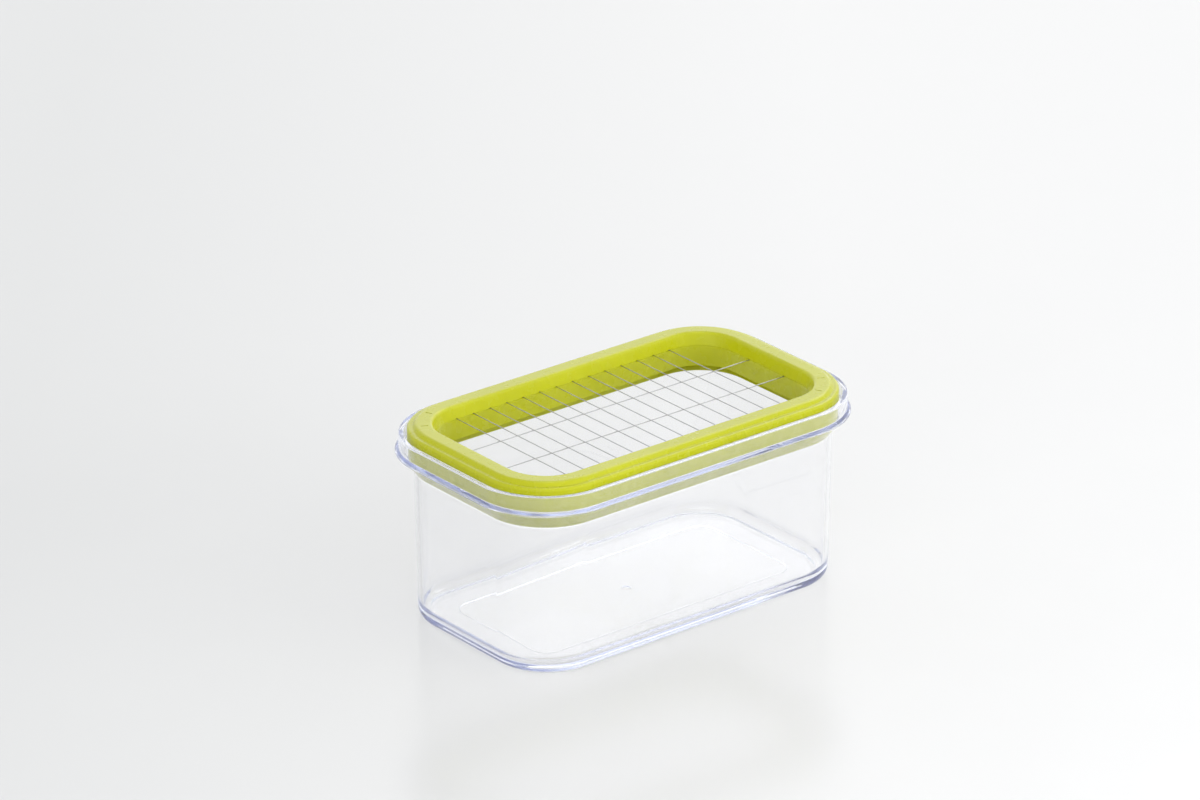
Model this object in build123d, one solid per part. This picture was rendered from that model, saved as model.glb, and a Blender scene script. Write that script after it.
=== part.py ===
from build123d import *
import os

# A butter dish with a cutter: a clear case, and a frame with a grid of wires that sits in its mouth.
# Millimetres. X runs along the case and Z up, and the origin is on the table under its middle.
# Every outline is a rounded rectangle about the same four corner centres. A section is drawn
# as points of offset from those centres against height, and carried round the outline.

# Outline
corner_spacing_x = 122.0      # between corner centres, along the case
corner_spacing_y = 45.6       # between corner centres, across it

# Case body
case_height = 85.1            # table to rim
wall_thickness = 2.0
wall_offset_foot = 26.5       # outer face at the table, before the bottom edge is rounded
wall_offset_top = 27.6        # outer face under the shoulder, so the wall has draft
bottom_round = 4.5            # outer bottom edge
bottom_round_inside = 6.0
floor_thickness = 1.8
foot_step = 0.8               # how far the standing ring reaches below the middle of the floor
foot_ring_offset = 8.0        # inner edge of the standing ring
gate_dimple_radius = 2.0
gate_dimple_depth = 0.5

# Case mouth
collar_offset = 34.0          # outer face of the collar
collar_thickness = 2.4
collar_depth = 8.7            # rim to the ledge that carries the cutter
collar_draft = 0.2            # the collar is this much narrower at the ledge
rim_round_outside = 0.7
rim_round_inside = 0.3
ledge_width = 1.9
bead_drop = 8.5               # rim to the underside of the bead
bead_thickness = 2.3          # at the collar
bead_fall = 1.4               # how far the bead's top slopes down to its edge
bead_projection = 1.5
bead_round = 0.4
shoulder_height = 8.1         # shoulder below the bead, outside
shoulder_round = 2.0

# Cutter frame
frame_gap = 1.3               # between the frame and the collar, all round
shoulder_gap = 0.3            # between the frame's skirt and the shoulder inside
seat_to_wires = 6.9           # from the ledge up to the plane where the two rings meet
upper_ring_height = 5.9
opening_offset = 18.0         # inner face at the wires
opening_flare = 1.5           # how much wider the opening is at the top
opening_draft = 0.5           # how much wider it is at the bottom
inner_skirt_depth = 9.5       # from the wires down the inner face
outer_skirt_depth = 13.8      # from the wires down to the lowest edge
ring_wall = 2.0
deck_thickness = 2.6          # shelf of the lower ring, which carries the wires
top_land = 7.1                # width of the top face, up to the step
top_round_inside = 1.6
top_round_outside = 2.0
step_height = 1.65            # top face down to the step outside
step_slope = 1.3
step_round = 1.3              # outer edge of the step
step_fillet = 0.4
parting_round = 0.3           # inner edges of both rings where they meet, which show as a fine line
rib_width = 1.6               # locating rib of the lower ring
rib_height = 1.3
rib_clearance = 0.15
rib_from_side = 2.3           # outer face of the frame to the rib

# Tick marks engraved in the top face, two at each of two opposite corners
tick_length = 3.2
tick_width = 0.5
tick_depth = 0.25
tick_angle = 17.0             # to each side of the corner's middle

# Wires
wire_diameter = 0.4
wire_end_length = 5.0         # how much of each end lies between the rings
cross_wire_count = 14
cross_wire_pitch = 9.0
long_wire_count = 2
long_wire_pitch = 23.2
groove_clearance = 0.1        # above and below a wire in its groove, in all
groove_side_clearance = 0.25
groove_end_clearance = 0.5

# Levels and offsets that follow from the sizes above
corner_x = corner_spacing_x / 2
corner_y = corner_spacing_y / 2
floor_top = foot_step + floor_thickness
ledge_level = case_height - collar_depth
bead_bottom = case_height - bead_drop
bead_top = bead_bottom + bead_thickness
shoulder_bottom = bead_bottom - shoulder_height
collar_inside = collar_offset - collar_thickness
ledge_outer = collar_inside - collar_draft
ledge_inner = ledge_outer - ledge_width
shoulder_inner_bottom = shoulder_bottom + wall_thickness * 0.65
wall_inside_top = wall_offset_top - wall_thickness
wall_inside_foot = wall_offset_foot - wall_thickness
frame_offset = collar_inside - frame_gap
wire_level = ledge_level + seat_to_wires
frame_top = wire_level + upper_ring_height
deck_underside = wire_level - deck_thickness
groove_depth = wire_diameter + groove_clearance
groove_width = wire_diameter + 2 * groove_side_clearance
wire_end_offset = opening_offset + wire_end_length
groove_end_offset = wire_end_offset + groove_end_clearance
cross_wire_level = wire_level + groove_depth / 2
long_wire_level = wire_level - groove_depth / 2
rib_outer = frame_offset - rib_from_side
channel_outer = rib_outer + rib_clearance


def section(points, radii):
    """A face of (offset, height) points in the XZ plane, each corner rounded by its radius."""
    outline = FilletPolyline(*[(offset, 0, height) for offset, height in points], radius=radii, close=True)
    return make_face(outline)


def carried_round(face):
    """A section carried round the outline: a quarter turn at each corner and a straight run after it."""
    quarter = revolve(face, axis=Axis.Z, revolution_arc=90)
    pieces = []
    for number, (side_x, side_y) in enumerate([(1, 1), (-1, 1), (-1, -1), (1, -1)]):
        centre = Pos(side_x * corner_x, side_y * corner_y)
        length = corner_spacing_x if number % 2 == 0 else corner_spacing_y
        run = extrude(face, amount=length, dir=(0, 1, 0))
        pieces.append(centre * Rot(0, 0, 90 * number) * quarter)
        pieces.append(centre * Rot(0, 0, 90 * (number + 1)) * run)
    return Part() + pieces


def slab(offset, bottom, height):
    """A plate with the shared outline at one offset."""
    plan = RectangleRounded(corner_spacing_x + 2 * offset, corner_spacing_y + 2 * offset, offset)
    return extrude(Pos(0, 0, bottom) * plan, amount=height)


def places(pitch, count):
    """Positions at one pitch, centred."""
    return [(number - (count - 1) / 2) * pitch for number in range(count)]


def case():
    """The clear case: floor, drafted wall, shoulder, bead, collar and the ledge inside it."""
    corners = [
        (foot_ring_offset, 0, 0),
        (wall_offset_foot, 0, bottom_round),
        (wall_offset_top, shoulder_bottom, shoulder_round),
        (collar_offset, bead_bottom, 0),
        (collar_offset + bead_projection, bead_bottom, bead_round),
        (collar_offset + bead_projection, bead_top - bead_fall, bead_round),
        (collar_offset, bead_top, bead_round),
        (collar_offset, case_height, rim_round_outside),
        (collar_inside, case_height, rim_round_inside),
        (ledge_outer, ledge_level, 0),
        (ledge_inner, ledge_level, rim_round_outside),
        (wall_inside_top, shoulder_inner_bottom, shoulder_round),
        (wall_inside_foot, floor_top, bottom_round_inside),
        (foot_ring_offset, floor_top, 0),
    ]
    shell = carried_round(section([corner[:2] for corner in corners], [corner[2] for corner in corners]))
    middle = slab(foot_ring_offset, foot_step, floor_thickness)
    sphere_radius = (gate_dimple_radius ** 2 + gate_dimple_depth ** 2) / (2 * gate_dimple_depth)
    dimple = Pos(0, 0, foot_step + gate_dimple_depth - sphere_radius) * Sphere(sphere_radius)
    return (shell + middle) - dimple


def skirt_line():
    """Outer and inner corners of the skirt, which follows the shoulder inside the case at its gap."""
    slope = (ledge_inner - wall_inside_top) / (ledge_level - shoulder_inner_bottom)
    gap = shoulder_gap * (1 + slope ** 2) ** 0.5
    lowest = wire_level - outer_skirt_depth
    outer_top = ledge_inner - gap
    outer_low = outer_top - slope * (ledge_level - lowest)
    return outer_top, outer_low, lowest


def frame_lower_ring():
    """The ring that carries the wires: deck, inner skirt, outer skirt, seat and locating rib."""
    outer_top, outer_low, lowest = skirt_line()
    inner_low = wire_level - inner_skirt_depth
    skirt_inner_top = frame_offset - ring_wall - rib_clearance
    corners = [
        (opening_offset, wire_level, parting_round),
        (rib_outer - rib_width, wire_level, 0),
        (rib_outer - rib_width, wire_level + rib_height, 0),
        (rib_outer, wire_level + rib_height, 0),
        (rib_outer, wire_level, 0),
        (frame_offset, wire_level, 0),
        (frame_offset, ledge_level, 0),
        (outer_top, ledge_level, 0),
        (outer_low, lowest, 0),
        (outer_low - ring_wall, lowest, 0),
        (skirt_inner_top, ledge_level + ring_wall, 0),
        (skirt_inner_top, deck_underside, 0),
        (opening_offset + ring_wall, deck_underside, 0),
        (opening_offset + ring_wall + opening_draft, inner_low, 0),
        (opening_offset + opening_draft, inner_low, 0),
    ]
    ring = carried_round(section([corner[:2] for corner in corners], [corner[2] for corner in corners]))
    return ring - long_wire_grooves()


def long_wire_grooves():
    """Grooves across the deck for the long wires, which lie below the plane where the rings meet."""
    length = 2 * (corner_x + groove_end_offset)
    groove = Pos(0, 0, wire_level - groove_depth / 2) * Box(length, groove_width, groove_depth)
    return [Pos(0, y) * groove for y in places(long_wire_pitch, long_wire_count)]


def cross_wire_grooves():
    """Grooves under the upper ring's inner wall for the cross wires, which lie above that plane."""
    length = 2 * (corner_y + groove_end_offset)
    groove = Pos(0, 0, wire_level + groove_depth / 2) * Box(groove_width, length, groove_depth)
    return [Pos(x) * groove for x in places(cross_wire_pitch, cross_wire_count)]


def tick_marks():
    """Short radial cuts in the top face, two at each marked corner, equally far from its middle."""
    middle = opening_offset + opening_flare + top_land / 2
    cut = Pos(middle, 0, frame_top - tick_depth / 2) * Box(tick_length, tick_width, tick_depth)
    ticks = []
    for side_x, side_y, middle_direction in ((-1, 1, 135), (1, -1, -45)):
        for turn in (-tick_angle, tick_angle):
            corner = Pos(side_x * corner_x, side_y * corner_y)
            ticks.append(corner * Rot(0, 0, middle_direction + turn) * cut)
    return ticks


def frame_upper_ring():
    """The cover ring: top face, step outside, flared opening, and a channel over the wire ends."""
    land_inner = opening_offset + opening_flare
    land_outer = land_inner + top_land
    step_level = frame_top - step_height
    channel_roof = step_level - ring_wall
    corners = [
        (opening_offset, wire_level, parting_round),
        (opening_offset + ring_wall, wire_level, 0),
        (opening_offset + ring_wall + opening_flare / 2, channel_roof, 0),
        (channel_outer, channel_roof, 0),
        (channel_outer, wire_level, 0),
        (frame_offset, wire_level, 0),
        (frame_offset, step_level, step_round),
        (land_outer + step_slope, step_level, step_fillet),
        (land_outer, frame_top, top_round_outside),
        (land_inner, frame_top, top_round_inside),
    ]
    ring = carried_round(section([corner[:2] for corner in corners], [corner[2] for corner in corners]))
    return ring - cross_wire_grooves() - tick_marks()


def wire(half_span, level):
    """A straight wire along X, centred, at one level."""
    return Pos(0, 0, level) * Rot(0, 90, 0) * Cylinder(wire_diameter / 2, 2 * half_span)


def cross_wires():
    """The wires across the opening, by name."""
    across = Rot(0, 0, 90) * wire(corner_y + wire_end_offset, cross_wire_level)
    spots = places(cross_wire_pitch, cross_wire_count)
    return {f"cross_wire_{number:02d}": Pos(x) * across for number, x in enumerate(spots, 1)}


def long_wires():
    """The wires along the opening, by name."""
    along = wire(corner_x + wire_end_offset, long_wire_level)
    spots = places(long_wire_pitch, long_wire_count)
    return {f"long_wire_{number}": Pos(0, y) * along for number, y in enumerate(spots, 1)}


def all_nodes():
    """Every piece by its node name."""
    nodes = {"case": case(), "frame_lower_ring": frame_lower_ring(), "frame_upper_ring": frame_upper_ring()}
    nodes.update(cross_wires())
    nodes.update(long_wires())
    return nodes


os.makedirs("parts", exist_ok=True)
for name, shape in all_nodes().items():
    export_step(shape, f"parts/{name}.step")
    print(f"{name}: {shape.volume / 1000:.3f} cm3")
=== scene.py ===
# %% [markdown]
# # A clear dish with a wire cutter
#
# The dish is a clear moulded case, about 19 cm long, with a yellow-green frame in its mouth. The frame
# is made of two rings that hold a grid of steel wires between them. The wires cut what is pressed
# through the grid into slices, which fall into the case.
#
# The CAD model has all 19 pieces in the right places. This script gives them their looks. Every length
# is in metres, X runs along the dish, Z is up, and the table is at height 0.

import math

import bmesh
import bpy
import numpy as np
from mathutils import Matrix, Vector


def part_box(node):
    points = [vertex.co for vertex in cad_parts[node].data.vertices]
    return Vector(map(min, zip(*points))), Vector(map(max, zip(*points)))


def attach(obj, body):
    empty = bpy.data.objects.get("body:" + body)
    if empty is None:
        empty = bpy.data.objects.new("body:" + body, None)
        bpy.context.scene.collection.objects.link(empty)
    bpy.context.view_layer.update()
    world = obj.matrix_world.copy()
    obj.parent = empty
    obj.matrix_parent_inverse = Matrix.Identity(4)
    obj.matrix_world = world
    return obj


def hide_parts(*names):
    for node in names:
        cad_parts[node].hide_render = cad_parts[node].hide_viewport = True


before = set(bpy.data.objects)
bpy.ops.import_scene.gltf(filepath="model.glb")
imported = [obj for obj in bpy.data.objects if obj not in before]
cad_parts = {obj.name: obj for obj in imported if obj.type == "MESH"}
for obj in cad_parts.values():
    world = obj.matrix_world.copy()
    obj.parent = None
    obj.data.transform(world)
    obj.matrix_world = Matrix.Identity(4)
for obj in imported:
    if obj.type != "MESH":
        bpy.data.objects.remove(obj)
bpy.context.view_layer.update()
mm = 0.001

# %% [markdown]
# ## One outline for every piece
#
# Seen from above, the case and both rings are rounded rectangles about the same four corner centres.
# Only the distance from those centres changes. So each piece can be drawn once as a section, in
# distance and height, and carried round. The corner centres are found from the case's box and the
# distance of its widest line, the bead under the rim.

# %% Corner centres
bead_offset = 35.5 * mm
case_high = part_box("case")[1]
corner_x = case_high[0] - bead_offset
corner_y = case_high[1] - bead_offset
print("corner centres in mm:", round(corner_x / mm, 1), round(corner_y / mm, 1))


def round_path(corner_steps, long_steps, short_steps):
    """Centres and directions along the outline, anticlockwise from the +X side.

    A point of the outline is its centre plus the offset times its direction. Round a corner the centre
    stands still and the direction turns through 90 degrees. Along a side the direction stands still and
    the centre moves to the next corner.
    """
    signs = np.array([(1, 1), (-1, 1), (-1, -1), (1, -1)], float)
    corners = signs * (corner_x, corner_y)
    centres = []
    angles = []
    for number, steps in enumerate((long_steps, short_steps, long_steps, short_steps)):
        turn = np.linspace(0, 90, corner_steps + 1) + 90 * number
        share = np.linspace(0, 1, steps + 1)[1:-1, None]
        following = corners[(number + 1) % 4]
        centres.append(np.repeat(corners[number][None], len(turn), axis=0))
        centres.append(corners[number] * (1 - share) + following * share)
        angles.append(turn)
        angles.append(np.full(len(share), 90.0 * (number + 1)))
    angles = np.radians(np.concatenate(angles))
    return np.concatenate(centres), np.stack([np.cos(angles), np.sin(angles)], axis=1)


centres, directions = round_path(corner_steps=80, long_steps=24, short_steps=10)
print("points along the outline:", len(centres))

# %% [markdown]
# ## Sections with rounded corners
#
# A moulded piece has no knife edges, so the corners of a section are rounded. Blender's Bevel modifier
# could do that, but then each corner would get the same radius. Here every corner has its own, worked
# out as an arc that touches both of its edges.

# %% Rounded sections


def rounded_section(corners, steps=9, same_point=0.001 * mm):
    """Points of a section whose corners (offset, height, radius) are replaced by arcs.

    The arc touches both edges at the distance radius / tan(half the corner's angle) from the corner.
    Its points turn evenly about the arc's centre from one touching point to the other. The first and
    the last corner are the ends of the section and stay sharp. Of points closer together than
    same_point only the first is kept.
    """
    corners = np.array(corners, float) * mm
    corner, radius = corners[1:-1, :2], corners[1:-1, 2:]
    back = corners[:-2, :2] - corner
    ahead = corners[2:, :2] - corner
    back /= np.linalg.norm(back, axis=1, keepdims=True)
    ahead /= np.linalg.norm(ahead, axis=1, keepdims=True)
    half = np.arccos(np.clip((back * ahead).sum(axis=1, keepdims=True), -1, 1)) / 2
    touch = radius / np.tan(half)
    inward = (back + ahead) / np.linalg.norm(back + ahead, axis=1, keepdims=True)
    middle = corner + inward * radius / np.sin(half)
    arm_back = corner + back * touch - middle
    arm_ahead = corner + ahead * touch - middle
    sweep = np.pi - 2 * half
    share = np.linspace(0, 1, steps + 1)[:, None, None]
    arms = np.sin((1 - share) * sweep) * arm_back + np.sin(share * sweep) * arm_ahead
    arcs = (middle + arms / np.sin(sweep)).transpose(1, 0, 2).reshape(-1, 2)
    points = np.concatenate([corners[:1, :2], arcs, corners[-1:, :2]])
    apart = np.linalg.norm(np.diff(points, axis=0), axis=1) > same_point
    return points[np.concatenate([[True], apart])]


def carried_round(section):
    """A grid of points: row i is section point i carried round the whole outline.

    A point is its corner centre plus the section point's offset times the outline's direction there, at
    the section point's height.
    """
    offset, height = section[:, 0], section[:, 1]
    flat = centres[None] + offset[:, None, None] * directions[None]
    level = np.broadcast_to(height[:, None, None], (len(section), len(centres), 1))
    return np.concatenate([flat, level], axis=2)


def round_rows(radii, heights):
    """A grid of circles about the Z axis, one row per radius.

    A circle's points lie in the directions of the outline's points as seen from the middle, so the rows
    join up with those of the outline without a twist.
    """
    toward = centres / np.linalg.norm(centres, axis=1, keepdims=True)
    flat = np.array(radii, float)[:, None, None] * toward[None]
    level = np.broadcast_to(np.array(heights, float)[:, None, None], (len(radii), len(toward), 1))
    return np.concatenate([flat, level], axis=2)


# %% [markdown]
# ## From a grid to a mesh
#
# A grid whose rows close on themselves becomes a mesh of four-sided faces. A row that has shrunk to one
# point is a pole, and merging doubles closes it. The faces are smooth, with sharp edges where the
# surface really turns, and weighted normals keep the large flat faces flat. That matters most in clear
# plastic, where a slightly wrong normal bends everything seen through it.

# %% Grid meshes


def closed_mesh(name, grid, sharp_angle=28):
    """A mesh of the faces between neighbouring rows and neighbouring points of a grid."""
    rows, columns = grid.shape[:2]
    number = np.arange(rows * columns).reshape(rows, columns)
    beside = np.roll(number, -1, axis=1)
    faces = np.stack([number[:-1], beside[:-1], beside[1:], number[1:]], axis=-1).reshape(-1, 4)
    mesh = bpy.data.meshes.new(name)
    mesh.from_pydata(grid.reshape(-1, 3).tolist(), [], faces.tolist())
    piece = bpy.data.objects.new(name, mesh)
    bpy.context.scene.collection.objects.link(piece)
    weld(mesh)
    mesh.polygons.foreach_set("use_smooth", np.ones(len(mesh.polygons), bool))
    mesh.set_sharp_from_angle(angle=math.radians(sharp_angle))
    weighted = piece.modifiers.new("Weighted normals", "WEIGHTED_NORMAL")
    weighted.keep_sharp = True
    print(name, "faces:", len(mesh.polygons))
    return piece


def weld(mesh, same_point=0.0005 * mm):
    """Joins points that lie on each other, such as the points of a pole."""
    work = bmesh.new()
    work.from_mesh(mesh)
    bmesh.ops.remove_doubles(work, verts=work.verts, dist=same_point)
    work.to_mesh(mesh)
    work.free()


# %% [markdown]
# ## The clear case
#
# A case like this could be injection moulded in one shot of clear styrene plastic, about 2 mm thick.
# Its section starts under the floor, at the inner edge of the standing ring. It goes out over the ring,
# up the drafted wall, out over the shoulder and the bead to the rim, and back down the inside past the
# ledge that carries the frame. Light bends at both faces of the wall, so the wall is modelled as a real
# thickness and not as one surface.
#
# The ledge lies a hair under the frame, because two faces in one place would flicker in the render.
# Each corner is given as offset, height and radius, in millimetres.

# %% Section of the case
seat_air = 0.03
ledge_level = 76.4 - seat_air
foot_ring = 8.0
foot_step = 0.8
floor_top = 2.6
outside = [
    (foot_ring, foot_step, 0), (foot_ring, 0, 0.3), (26.5, 0, 4.5), (27.6, 68.5, 2), (34, 76.6, 0.3),
    (35.5, 76.6, 0.4), (35.5, 77.5, 0.4), (34, 78.9, 0.4), (34, 85.1, 0.7),
]
inside = [
    (31.6, 85.1, 0.3), (31.4, ledge_level, 0.15), (29.5, ledge_level, 0.5), (25.6, 69.8, 2),
    (24.5, floor_top, 6), (foot_ring, floor_top, 0),
]
shell_rows = carried_round(rounded_section(outside + inside))
print("section points:", len(shell_rows), "points in the shell:", shell_rows[..., 0].size)

# %% [markdown]
# ### The gate mark and the whole case
#
# Where the plastic entered the mould, a small dimple is left in the underside, so that the broken end
# of the sprue doesn't scratch the table. Its rows are circles: the radius grows with the sine of a
# quarter turn while the height falls with the cosine. They come before the shell, and a last row that
# has shrunk to one point closes the inside of the floor.

# %% The whole case
gate_radius = 2.0
gate_depth = 0.5
gate_circles = 9
gate_turn = np.linspace(0, np.pi / 2, gate_circles)
gate_rows = round_rows(
    gate_radius * np.sin(gate_turn) * mm,
    (foot_step + gate_depth * np.cos(gate_turn)) * mm,
)
floor_pole = round_rows([0], [floor_top * mm])
case = closed_mesh("clear_case", np.concatenate([gate_rows, shell_rows, floor_pole]))
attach(case, "case")
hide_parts("case")

# %% [markdown]
# ## Node helpers
#
# Each finish is a small tree of shader nodes. Patterns read Object coordinates, so that they stay fixed
# to the piece when it moves.

# %% Node helpers


def new_material(name):
    """An empty material with its node tree and output node."""
    material = bpy.data.materials.new(name)
    material.use_nodes = True
    tree = material.node_tree
    tree.nodes.clear()
    return material, tree, tree.nodes.new("ShaderNodeOutputMaterial")


def noise(tree, scale, detail=3.0, stretch=(1, 1, 1)):
    """Noise on Object coordinates, with its coordinates scaled along each axis."""
    place = tree.nodes.new("ShaderNodeTexCoord")
    mapping = tree.nodes.new("ShaderNodeMapping")
    mapping.inputs["Scale"].default_value = stretch
    texture = tree.nodes.new("ShaderNodeTexNoise")
    texture.inputs["Scale"].default_value = scale
    texture.inputs["Detail"].default_value = detail
    tree.links.new(place.outputs["Object"], mapping.inputs["Vector"])
    tree.links.new(mapping.outputs["Vector"], texture.inputs["Vector"])
    return texture.outputs["Fac"]


def spread(tree, value, low, high, start=0.3, end=0.7):
    """Maps the middle of a noise to a range of values."""
    node = tree.nodes.new("ShaderNodeMapRange")
    node.inputs["From Min"].default_value = start
    node.inputs["From Max"].default_value = end
    node.inputs["To Min"].default_value = low
    node.inputs["To Max"].default_value = high
    tree.links.new(value, node.inputs["Value"])
    return node.outputs["Result"]


def bump(tree, height, distance, strength=1.0):
    """A bump whose height of 1 is the given distance."""
    node = tree.nodes.new("ShaderNodeBump")
    node.inputs["Strength"].default_value = strength
    node.inputs["Distance"].default_value = distance
    tree.links.new(height, node.inputs["Height"])
    return node.outputs["Normal"]


# %% [markdown]
# ## Clear styrene
#
# The plastic is nearly colourless through its 2 mm wall, but a blueing dye makes it lavender where the
# light travels along an edge. Volume absorption gives that: the tint grows with the length of the path.
# A moulded face is never perfectly clear: a thin white haze lies on its outer side, and shows best in
# front of the green frame. Light inside the plastic doesn't meet it, so the edges keep their glow.
#
# Lamp light is let straight through, because a clear case hardly darkens the table, and the bent light
# of a real shadow would need far more samples.

# %% Clear plastic
refraction = 1.57
haze_amount = 0.12
haze_colour = (0.95, 0.95, 0.97, 1)
shadow_tint = (0.955, 0.955, 0.965, 1)
dye_colour = (0.27, 0.40, 0.88, 1)
dye_density = 4.5


def clear_plastic():
    """Clear glass-like plastic with a dye in its volume and a haze on its outer side."""
    material, tree, output = new_material("clear_styrene")
    glass = tree.nodes.new("ShaderNodeBsdfPrincipled")
    glass.inputs["Base Color"].default_value = (1, 1, 1, 1)
    glass.inputs["Transmission Weight"].default_value = 1.0
    glass.inputs["IOR"].default_value = refraction
    tree.links.new(spread(tree, noise(tree, 90), 0.0, 0.02), glass.inputs["Roughness"])
    tree.links.new(bump(tree, noise(tree, 25, detail=1), 0.005 * mm), glass.inputs["Normal"])
    haze = tree.nodes.new("ShaderNodeBsdfDiffuse")
    haze.inputs["Color"].default_value = haze_colour
    side = tree.nodes.new("ShaderNodeNewGeometry")
    haze_share = spread(tree, side.outputs["Backfacing"], haze_amount, 0.0, start=0, end=1)
    hazed = tree.nodes.new("ShaderNodeMixShader")
    tree.links.new(haze_share, hazed.inputs["Fac"])
    tree.links.new(glass.outputs["BSDF"], hazed.inputs[1])
    tree.links.new(haze.outputs["BSDF"], hazed.inputs[2])
    through = tree.nodes.new("ShaderNodeBsdfTransparent")
    through.inputs["Color"].default_value = shadow_tint
    rays = tree.nodes.new("ShaderNodeLightPath")
    mix = tree.nodes.new("ShaderNodeMixShader")
    tree.links.new(rays.outputs["Is Shadow Ray"], mix.inputs["Fac"])
    tree.links.new(hazed.outputs["Shader"], mix.inputs[1])
    tree.links.new(through.outputs["BSDF"], mix.inputs[2])
    tree.links.new(mix.outputs["Shader"], output.inputs["Surface"])
    dye = tree.nodes.new("ShaderNodeVolumeAbsorption")
    dye.inputs["Color"].default_value = dye_colour
    dye.inputs["Density"].default_value = dye_density
    tree.links.new(dye.outputs["Volume"], output.inputs["Volume"])
    return material


case.data.materials.append(clear_plastic())
print("case material:", case.data.materials[0].name)

# %% [markdown]
# ## Green plastic
#
# The two rings are moulded in one yellow-green plastic with a smooth, slightly satin face. Its colour
# is even, so what makes it look moulded is fine: small changes of gloss and a very low ripple.

# %% Green plastic


def green_plastic():
    """Even yellow-green plastic with small changes of gloss and a fine ripple."""
    material, tree, output = new_material("yellow_green_plastic")
    body = tree.nodes.new("ShaderNodeBsdfPrincipled")
    tone = tree.nodes.new("ShaderNodeMix")
    tone.data_type = "RGBA"
    tone.inputs["A"].default_value = (0.48, 0.50, 0.003, 1)
    tone.inputs["B"].default_value = (0.52, 0.54, 0.006, 1)
    body.inputs["Specular IOR Level"].default_value = 0.4
    tree.links.new(spread(tree, noise(tree, 40), 0, 1), tone.inputs["Factor"])
    tree.links.new(tone.outputs["Result"], body.inputs["Base Color"])
    tree.links.new(spread(tree, noise(tree, 150), 0.24, 0.30), body.inputs["Roughness"])
    tree.links.new(bump(tree, noise(tree, 1500, detail=1), 0.002 * mm), body.inputs["Normal"])
    tree.links.new(body.outputs["BSDF"], output.inputs["Surface"])
    return material


green = green_plastic()
rings = ("frame_lower_ring", "frame_upper_ring")
for ring in rings:
    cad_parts[ring].data.materials.clear()
    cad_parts[ring].data.materials.append(green)
print("green rings:", len(rings))

# %% [markdown]
# ## Steel wire
#
# Drawn stainless wire is grey and shiny, with fine lines along its length from the drawing die. The
# noise is stretched along the wire, so each of the two directions has its own material.

# %% Steel wire


def steel_wire(name, stretch):
    """Drawn steel, with its noise drawn out along the axis whose stretch is smallest."""
    material, tree, output = new_material(name)
    steel = tree.nodes.new("ShaderNodeBsdfPrincipled")
    steel.inputs["Base Color"].default_value = (0.42, 0.42, 0.43, 1)
    steel.inputs["Metallic"].default_value = 1.0
    gloss = spread(tree, noise(tree, 900, stretch=stretch), 0.22, 0.42)
    lines = bump(tree, noise(tree, 4000, stretch=stretch), 0.004 * mm)
    tree.links.new(gloss, steel.inputs["Roughness"])
    tree.links.new(lines, steel.inputs["Normal"])
    tree.links.new(steel.outputs["BSDF"], output.inputs["Surface"])
    return material


steel_along = steel_wire("steel_along", (0.05, 1, 1))
steel_across = steel_wire("steel_across", (1, 0.05, 1))
wires = [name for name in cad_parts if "wire" in name]
for name in wires:
    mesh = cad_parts[name].data
    mesh.materials.clear()
    mesh.materials.append(steel_along if name.startswith("long") else steel_across)
print("wires:", len(wires))

# %% [markdown]
# ## Table
#
# The dish stands on a white table that fills the picture and mirrors it a little. The table's colour
# holds painted shade: it is painted slightly darker towards the left of the picture, to stand for the
# dimmer left side of the studio. It lies a hair below the dish, again so that no two faces share one
# place. picture_right is the direction that points to the right in the picture.

# %% Table
table_size = 6.0
table_drop = 0.05 * mm
picture_right = (0.778, -0.628, 0)
table_mesh = bpy.data.meshes.new("table")
edge = table_size / 2
corner_signs = ((-1, -1), (1, -1), (1, 1), (-1, 1))
table_corners = [(x * edge, y * edge, -table_drop) for x, y in corner_signs]
table_mesh.from_pydata(table_corners, [], [(0, 1, 2, 3)])
table = bpy.data.objects.new("table", table_mesh)
bpy.context.scene.collection.objects.link(table)


def table_top():
    """White lacquer with painted shade that darkens it along a direction, and gloss that changes in
    patches.
    """
    material, tree, output = new_material("white_table")
    top = tree.nodes.new("ShaderNodeBsdfPrincipled")
    place = tree.nodes.new("ShaderNodeTexCoord")
    across = tree.nodes.new("ShaderNodeVectorMath")
    across.operation = "DOT_PRODUCT"
    across.inputs[1].default_value = picture_right
    tree.links.new(place.outputs["Object"], across.inputs[0])
    # Painted shade: the base colour runs from darker at the left of the picture to lighter at the right,
    # for the dimmer left side of the studio.
    tone = tree.nodes.new("ShaderNodeMix")
    tone.data_type = "RGBA"
    tone.inputs["A"].default_value = (0.72, 0.725, 0.725, 1)
    tone.inputs["B"].default_value = (0.86, 0.86, 0.86, 1)
    painted_shade_share = spread(tree, across.outputs["Value"], 0, 1, start=-0.28, end=0.10)
    tree.links.new(painted_shade_share, tone.inputs["Factor"])
    tree.links.new(tone.outputs["Result"], top.inputs["Base Color"])
    top.inputs["Specular IOR Level"].default_value = 0.2
    tree.links.new(spread(tree, noise(tree, 30), 0.16, 0.2), top.inputs["Roughness"])
    tree.links.new(top.outputs["BSDF"], output.inputs["Surface"])
    return material


table_mesh.materials.append(table_top())
print("table side in m:", table_size)

# %% [markdown]
# ## Lamps
#
# Clear plastic shows little of itself and much of what stands round it, so it is lit with large white
# cards. Two soft lamps at the front light the frame and the table. Four cards behind, above and to the
# right are seen only as shine or through the plastic: the backdrop card brightens the floor inside the
# case, the shine card lights up the rim and the table's gloss, and the overhead and the right card draw
# the light lines along the frame's rounded steps.
#
# Each lamp says which rays see it. Lamp light already goes straight through the clear case, so most
# lamps are hidden from the rays that the case bends, or all behind the plastic would be lit twice. The
# front lamps aren't mirrored either, because seen from behind they would wash out the table.

# %% Lamps


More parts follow.
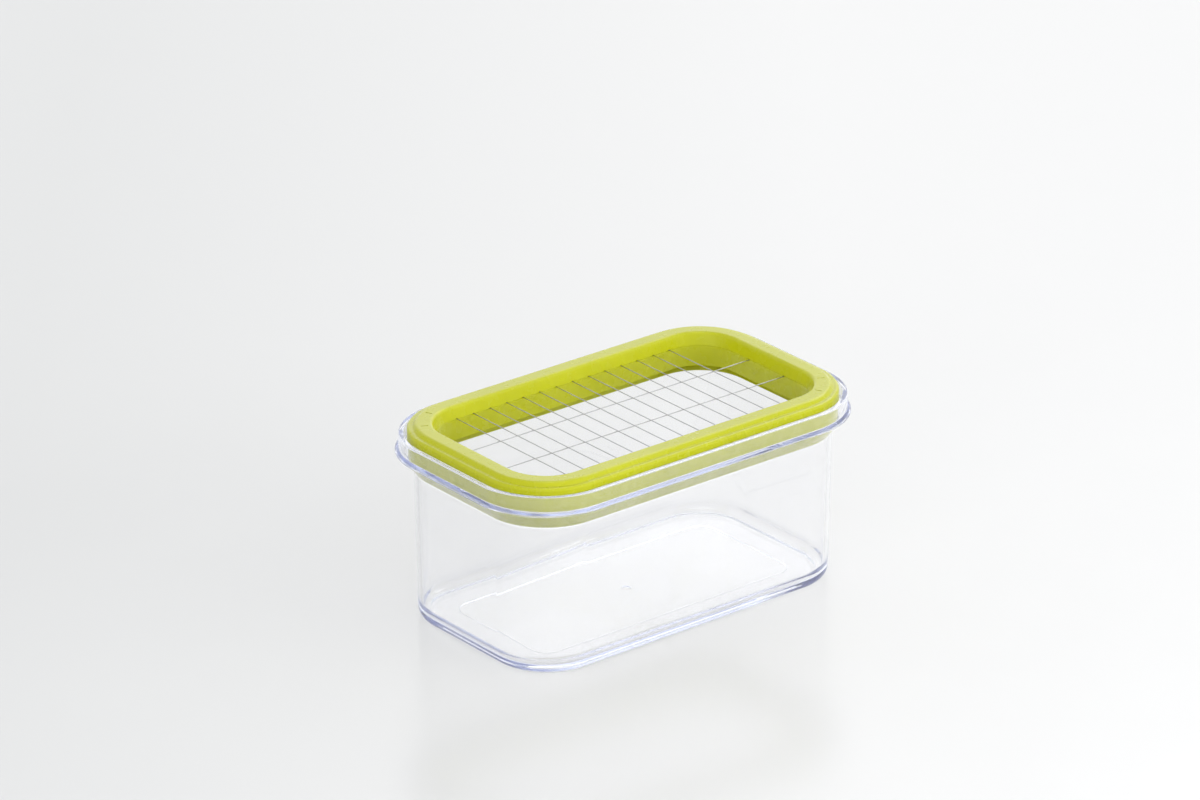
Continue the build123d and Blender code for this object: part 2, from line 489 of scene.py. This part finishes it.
def soft_lamp(name, place, aim, size, power, diffuse=True, glossy=True, transmission=True):
    """A rectangular lamp at a place, turned to face a point, and the kinds of rays that see it."""
    lamp = bpy.data.lights.new(name, "AREA")
    lamp.shape = "RECTANGLE"
    lamp.size, lamp.size_y = size
    lamp.energy = power
    holder = bpy.data.objects.new(name, lamp)
    holder.location = place
    holder.rotation_euler = (Vector(aim) - Vector(place)).to_track_quat("-Z", "Y").to_euler()
    bpy.context.scene.collection.objects.link(holder)
    holder.visible_diffuse = diffuse
    holder.visible_glossy = glossy
    holder.visible_transmission = transmission


foot_aim = (0, 0, 0)
wall_aim = (0, 0, 0.06)
rim_aim = (0, 0, 0.08)
behind = (1.15, 1.43, 0.85)
card_size = (2.0, 1.4)
lamp_size = (1.2, 0.7)
soft_lamp("backdrop card", behind, rim_aim, card_size, 8.5, diffuse=False)
soft_lamp("shine card", behind, rim_aim, card_size, 20, diffuse=False, transmission=False)
soft_lamp("overhead card", (0.0, -0.1, 1.6), foot_aim, (0.9, 0.6), 3.4, diffuse=False, transmission=False)
soft_lamp("right card", (1.1, 0.25, 1.15), foot_aim, lamp_size, 8, diffuse=False, transmission=False)
soft_lamp("front right", (0.8, -1.4, 0.45), wall_aim, lamp_size, 10, glossy=False, transmission=False)
soft_lamp("front left", (-1.5, -0.8, 0.45), wall_aim, lamp_size, 7.5, glossy=False, transmission=False)
print("lamps:", len(bpy.data.lights))

# %% [markdown]
# ## Sky
#
# The rest of the light comes from all round. It is brighter near the horizon than overhead, as with
# white walls under a dim ceiling, and brighter on the right of the picture than on the left. Each of
# the two changes is a straight line along one direction, and the level is their product.

# %% Sky
world = bpy.data.worlds.new("studio")
bpy.context.scene.world = world
world.use_nodes = True
world_tree = world.node_tree
sky = world_tree.nodes["Background"]
sky.inputs["Color"].default_value = (0.99, 0.995, 1, 1)


def sky_along(direction, low, high):
    """The sky's level, which runs in a straight line from low to high along a direction."""
    place = world_tree.nodes.new("ShaderNodeTexCoord")
    along = world_tree.nodes.new("ShaderNodeVectorMath")
    along.operation = "DOT_PRODUCT"
    along.inputs[1].default_value = direction
    world_tree.links.new(place.outputs["Generated"], along.inputs[0])
    return spread(world_tree, along.outputs["Value"], low, high, start=-1, end=1)


sky_level = world_tree.nodes.new("ShaderNodeMath")
sky_level.operation = "MULTIPLY"
world_tree.links.new(sky_along(picture_right, 0.88, 1.31), sky_level.inputs[0])
world_tree.links.new(sky_along((0, 0, 1), 1.45, 0.65), sky_level.inputs[1])
world_tree.links.new(sky_level.outputs["Value"], sky.inputs["Strength"])
print("sky nodes:", len(world_tree.nodes))

# %% [markdown]
# ## Camera
#
# The picture was taken from far away with a long lens, a little above the dish and turned to its left
# end. The angles come from fitting the outlines of the rim, the bead and the foot.

# %% Camera
azimuth = math.radians(-38.924)
elevation = math.radians(23.642)
roll = math.radians(-0.124)
distance = 2.8773
aim = Vector((0.056477, 0.086457, 0.045))
focal_pixels = 6500
picture_width = 1200

camera_data = bpy.data.cameras.new("camera")
camera_data.sensor_width = 36
camera_data.lens = focal_pixels / picture_width * camera_data.sensor_width
camera = bpy.data.objects.new("camera", camera_data)
level = math.cos(elevation)
backward = Vector((math.sin(azimuth) * level, -math.cos(azimuth) * level, math.sin(elevation)))
camera.location = aim + backward * distance
rightward = Vector((math.cos(azimuth), math.sin(azimuth), 0))
upward = backward.cross(rightward)
turned_right = rightward * math.cos(roll) + upward * math.sin(roll)
turned_up = upward * math.cos(roll) - rightward * math.sin(roll)
camera.rotation_euler = Matrix((turned_right, turned_up, backward)).transposed().to_euler()
bpy.context.scene.collection.objects.link(camera)
bpy.context.scene.camera = camera
print("camera in m:", [round(v, 3) for v in camera.location], "lens in mm:", camera_data.lens)

# %% [markdown]
# ## Light in the edges
#
# Light that is caught in an edge of the case is thrown back and forth many times before it gets out.
# Cycles gives up a ray after a number of bounces and makes it black. With its usual number the edges
# would be black lines, so the limits are set high enough for nearly every ray to come out.

# %% Bounce limits
edge_bounces = 96
scene = bpy.context.scene
scene.view_settings.view_transform = "Standard"
scene.cycles.max_bounces = edge_bounces
scene.cycles.transmission_bounces = edge_bounces
scene.cycles.glossy_bounces = edge_bounces
print("bounces:", edge_bounces)
